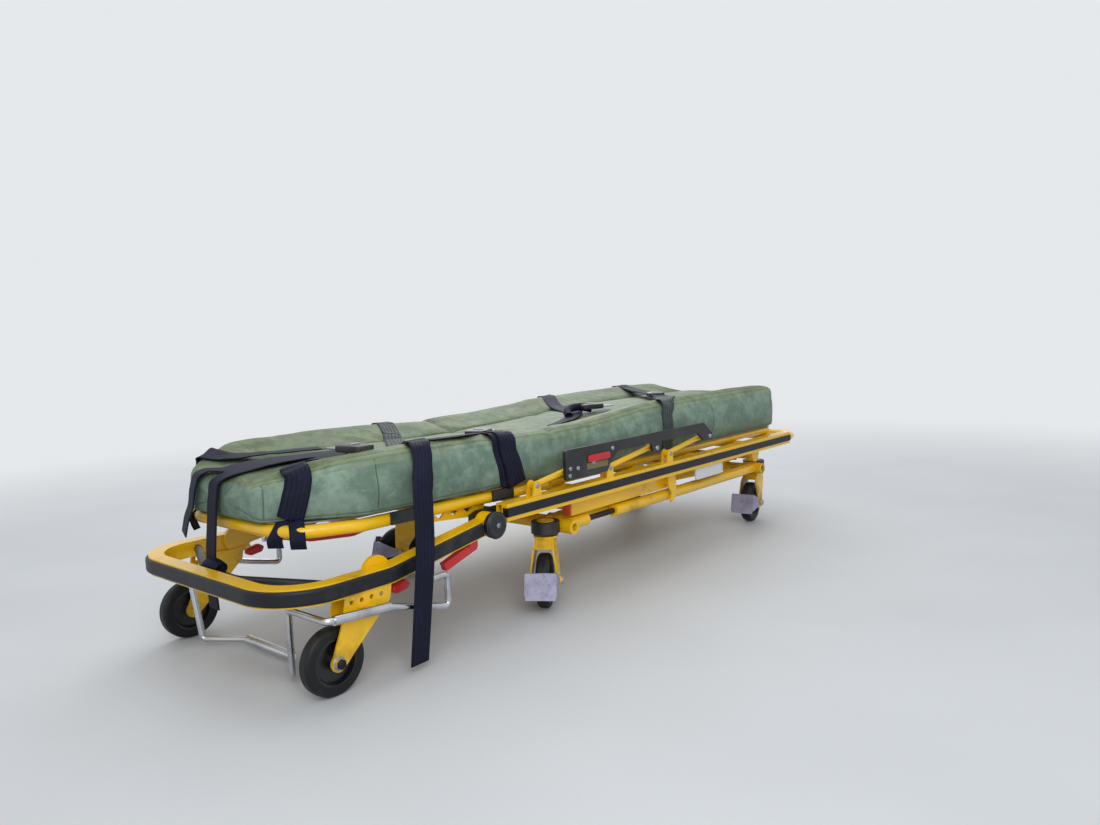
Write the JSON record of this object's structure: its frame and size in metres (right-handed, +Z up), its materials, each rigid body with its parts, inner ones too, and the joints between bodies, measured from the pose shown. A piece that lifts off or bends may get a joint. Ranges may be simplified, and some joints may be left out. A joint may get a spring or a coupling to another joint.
{
  "type": "wheeled ambulance stretcher",
  "caption": "Low wheeled ambulance stretcher: crossed folding legs on four swivel casters, drop-down head hoop on load wheels, tilting backrest, padded mattress with belts.",
  "frame": {"origin": "on the floor under the middle of the stretcher's outline", "axes": "+X towards the foot end along the stretcher, +Z up, the camera's side of the picture is -Y"},
  "size_m": [2.03, 0.6696, 0.4296],
  "materials": {
    "yellow_paint": "semi-gloss yellow paint, scuffed on edges",
    "black_rubber": "satin black rubber strip",
    "black_plastic": "matte black plastic",
    "tyre_rubber": "dusty black tread",
    "wheel_hub": "dark grey moulded plastic",
    "red_plastic": "glossy red",
    "chrome": "bright chrome plate",
    "bare_steel": "worn bare steel",
    "deck_sheet": "mill-finish sheet",
    "green_vinyl": "semi-matte sage-green vinyl, lightly creased",
    "navy_webbing": "woven dark navy webbing",
    "white_plastic": "plain white cover"
  },
  "bodies": {
    "litter": {"side_rails": "yellow_paint", "rail_bumpers": "black_rubber", "pivot_castings": "black_plastic", "pivot_bosses": "black_plastic", "post_lugs": "yellow_paint", "deck_frame": "yellow_paint", "deck_panel": "deck_sheet", "litter_tracks": "yellow_paint", "scissor_mount": "yellow_paint", "foot_handle": "yellow_paint", "cover_plates": "white_plastic", "mattress_seat": "green_vinyl", "mattress_fold": "green_vinyl", "leg_straps": "navy_webbing", "leg_buckles": "black_plastic"},
    "backrest": {"backrest_frame": "yellow_paint", "backrest_panel": "deck_sheet", "backrest_release": "red_plastic", "mattress_back": "green_vinyl", "back_straps": "navy_webbing", "back_buckles": "black_plastic", "strap_anchors": "black_plastic"},
    "drop_frame": {"hoop": "yellow_paint", "hoop_bumper": "black_rubber", "hoop_strut": "black_plastic", "wheel_brackets": "yellow_paint", "safety_bar": "chrome", "release_levers": "red_plastic"},
    "load_wheel_near": {"load_tyre_near": "tyre_rubber", "load_hub_near": "wheel_hub"},
    "load_wheel_far": {"load_tyre_far": "tyre_rubber", "load_hub_far": "wheel_hub"},
    "outer_legs": {"outer_legs": "yellow_paint"},
    "inner_legs": {"inner_legs": "yellow_paint"},
    "base": {"base_frame": "yellow_paint", "base_tees": "yellow_paint", "base_rods": "bare_steel", "caster_rings": "black_plastic"},
    "post_near_1": {"side_post_near_1": "yellow_paint"},
    "post_near_2": {"side_post_near_2": "yellow_paint"},
    "post_near_3": {"side_post_near_3": "yellow_paint"},
    "bar_near": {"side_bar_near": "black_plastic"},
    "post_far_1": {"side_post_far_1": "yellow_paint"},
    "post_far_2": {"side_post_far_2": "yellow_paint"},
    "post_far_3": {"side_post_far_3": "yellow_paint"},
    "bar_far": {"side_bar_far": "black_plastic"},
    "fork_head_near": {"caster_fork_head_near": "yellow_paint", "caster_pedal_head_near": "bare_steel"},
    "wheel_head_near": {"caster_wheel_head_near": "tyre_rubber"},
    "fork_head_far": {"caster_fork_head_far": "yellow_paint", "caster_pedal_head_far": "bare_steel"},
    "wheel_head_far": {"caster_wheel_head_far": "tyre_rubber"},
    "fork_foot_near": {"caster_fork_foot_near": "yellow_paint", "caster_pedal_foot_near": "bare_steel"},
    "wheel_foot_near": {"caster_wheel_foot_near": "tyre_rubber"},
    "fork_foot_far": {"caster_fork_foot_far": "yellow_paint", "caster_pedal_foot_far": "bare_steel"},
    "wheel_foot_far": {"caster_wheel_foot_far": "tyre_rubber"}
  },
  "joints": [
    {"name": "raise", "type": "hinge", "parent": "litter", "child": "outer_legs", "pos_m": [0.72, 0, 0.212], "axis": [0, -1, 0], "range_deg": [0, 42]},
    {"name": "legs_cross", "type": "hinge", "parent": "outer_legs", "child": "inner_legs", "pos_m": [0.26237, 0, 0.1935], "axis": [0, -1, 0], "range_deg": [-84, 0]},
    {"name": "base_level", "type": "hinge", "parent": "inner_legs", "child": "base", "pos_m": [0.72, 0, 0.175], "axis": [0, -1, 0], "range_deg": [0, 42]},
    {"name": "drop_fold", "type": "hinge", "parent": "litter", "child": "drop_frame", "pos_m": [-0.505, 0, 0.234], "axis": [0, -1, 0], "range_deg": [0, 70]},
    {"name": "backrest_tilt", "type": "hinge", "parent": "litter", "child": "backrest", "pos_m": [-0.25, 0, 0.279], "axis": [0, 1, 0], "range_deg": [0, 70], "deforming": ["mattress_fold"]},
    {"name": "load_spin_near", "type": "hinge", "parent": "drop_frame", "child": "load_wheel_near", "pos_m": [-0.9, -0.262, 0.0625], "axis": [0, 1, 0], "continuous": true},
    {"name": "side_rail_near", "type": "hinge", "parent": "litter", "child": "post_near_1", "pos_m": [-0.365, -0.28, 0.295], "axis": [0, -1, 0], "range_deg": [0, 82]},
    {"name": "side_rail_near_2", "type": "hinge", "parent": "litter", "child": "post_near_2", "pos_m": [-0.093, -0.28, 0.295], "axis": [0, -1, 0], "range_deg": [0, 82]},
    {"name": "side_rail_near_3", "type": "hinge", "parent": "litter", "child": "post_near_3", "pos_m": [0.179, -0.28, 0.295], "axis": [0, -1, 0], "range_deg": [0, 82]},
    {"name": "side_rail_near_bar", "type": "hinge", "parent": "post_near_1", "child": "bar_near", "pos_m": [-0.17685, -0.28, 0.32144], "axis": [0, -1, 0], "range_deg": [-82, 0]},
    {"name": "load_spin_far", "type": "hinge", "parent": "drop_frame", "child": "load_wheel_far", "pos_m": [-0.9, 0.262, 0.0625], "axis": [0, 1, 0], "continuous": true},
    {"name": "side_rail_far", "type": "hinge", "parent": "litter", "child": "post_far_1", "pos_m": [-0.365, 0.28, 0.295], "axis": [0, -1, 0], "range_deg": [0, 82]},
    {"name": "side_rail_far_2", "type": "hinge", "parent": "litter", "child": "post_far_2", "pos_m": [-0.093, 0.28, 0.295], "axis": [0, -1, 0], "range_deg": [0, 82]},
    {"name": "side_rail_far_3", "type": "hinge", "parent": "litter", "child": "post_far_3", "pos_m": [0.179, 0.28, 0.295], "axis": [0, -1, 0], "range_deg": [0, 82]},
    {"name": "side_rail_far_bar", "type": "hinge", "parent": "post_far_1", "child": "bar_far", "pos_m": [-0.17685, 0.28, 0.32144], "axis": [0, -1, 0], "range_deg": [-82, 0]},
    {"name": "swivel_head_near", "type": "hinge", "parent": "base", "child": "fork_head_near", "pos_m": [-0.28, -0.235, 0.18], "axis": [0, 0, 1], "continuous": true},
    {"name": "roll_head_near", "type": "hinge", "parent": "fork_head_near", "child": "wheel_head_near", "pos_m": [-0.31187, -0.2557, 0.0625], "axis": [0.5446, -0.8387, 0], "continuous": true},
    {"name": "swivel_head_far", "type": "hinge", "parent": "base", "child": "fork_head_far", "pos_m": [-0.28, 0.235, 0.18], "axis": [0, 0, 1], "continuous": true},
    {"name": "roll_head_far", "type": "hinge", "parent": "fork_head_far", "child": "wheel_head_far", "pos_m": [-0.30868, 0.25993, 0.0625], "axis": [-0.6561, -0.7547, 0], "continuous": true},
    {"name": "swivel_foot_near", "type": "hinge", "parent": "base", "child": "fork_foot_near", "pos_m": [0.764, -0.235, 0.18], "axis": [0, 0, 1], "continuous": true},
    {"name": "roll_foot_near", "type": "hinge", "parent": "fork_foot_near", "child": "wheel_foot_near", "pos_m": [0.72637, -0.24029, 0.0625], "axis": [0.1392, -0.9903, 0], "continuous": true},
    {"name": "swivel_foot_far", "type": "hinge", "parent": "base", "child": "fork_foot_far", "pos_m": [0.764, 0.235, 0.18], "axis": [0, 0, 1], "continuous": true},
    {"name": "roll_foot_far", "type": "hinge", "parent": "fork_foot_far", "child": "wheel_foot_far", "pos_m": [0.72647, 0.24094, 0.0625], "axis": [-0.1564, -0.9877, 0], "continuous": true}
  ],
  "couplings": [
    {"joint": "legs_cross", "follows": "raise", "ratio": -2},
    {"joint": "base_level", "follows": "raise", "ratio": 1},
    {"joint": "side_rail_near_2", "follows": "side_rail_near", "ratio": 1},
    {"joint": "side_rail_near_3", "follows": "side_rail_near", "ratio": 1},
    {"joint": "side_rail_near_bar", "follows": "side_rail_near", "ratio": -1},
    {"joint": "side_rail_far_2", "follows": "side_rail_far", "ratio": 1},
    {"joint": "side_rail_far_3", "follows": "side_rail_far", "ratio": 1},
    {"joint": "side_rail_far_bar", "follows": "side_rail_far", "ratio": -1}
  ]
}
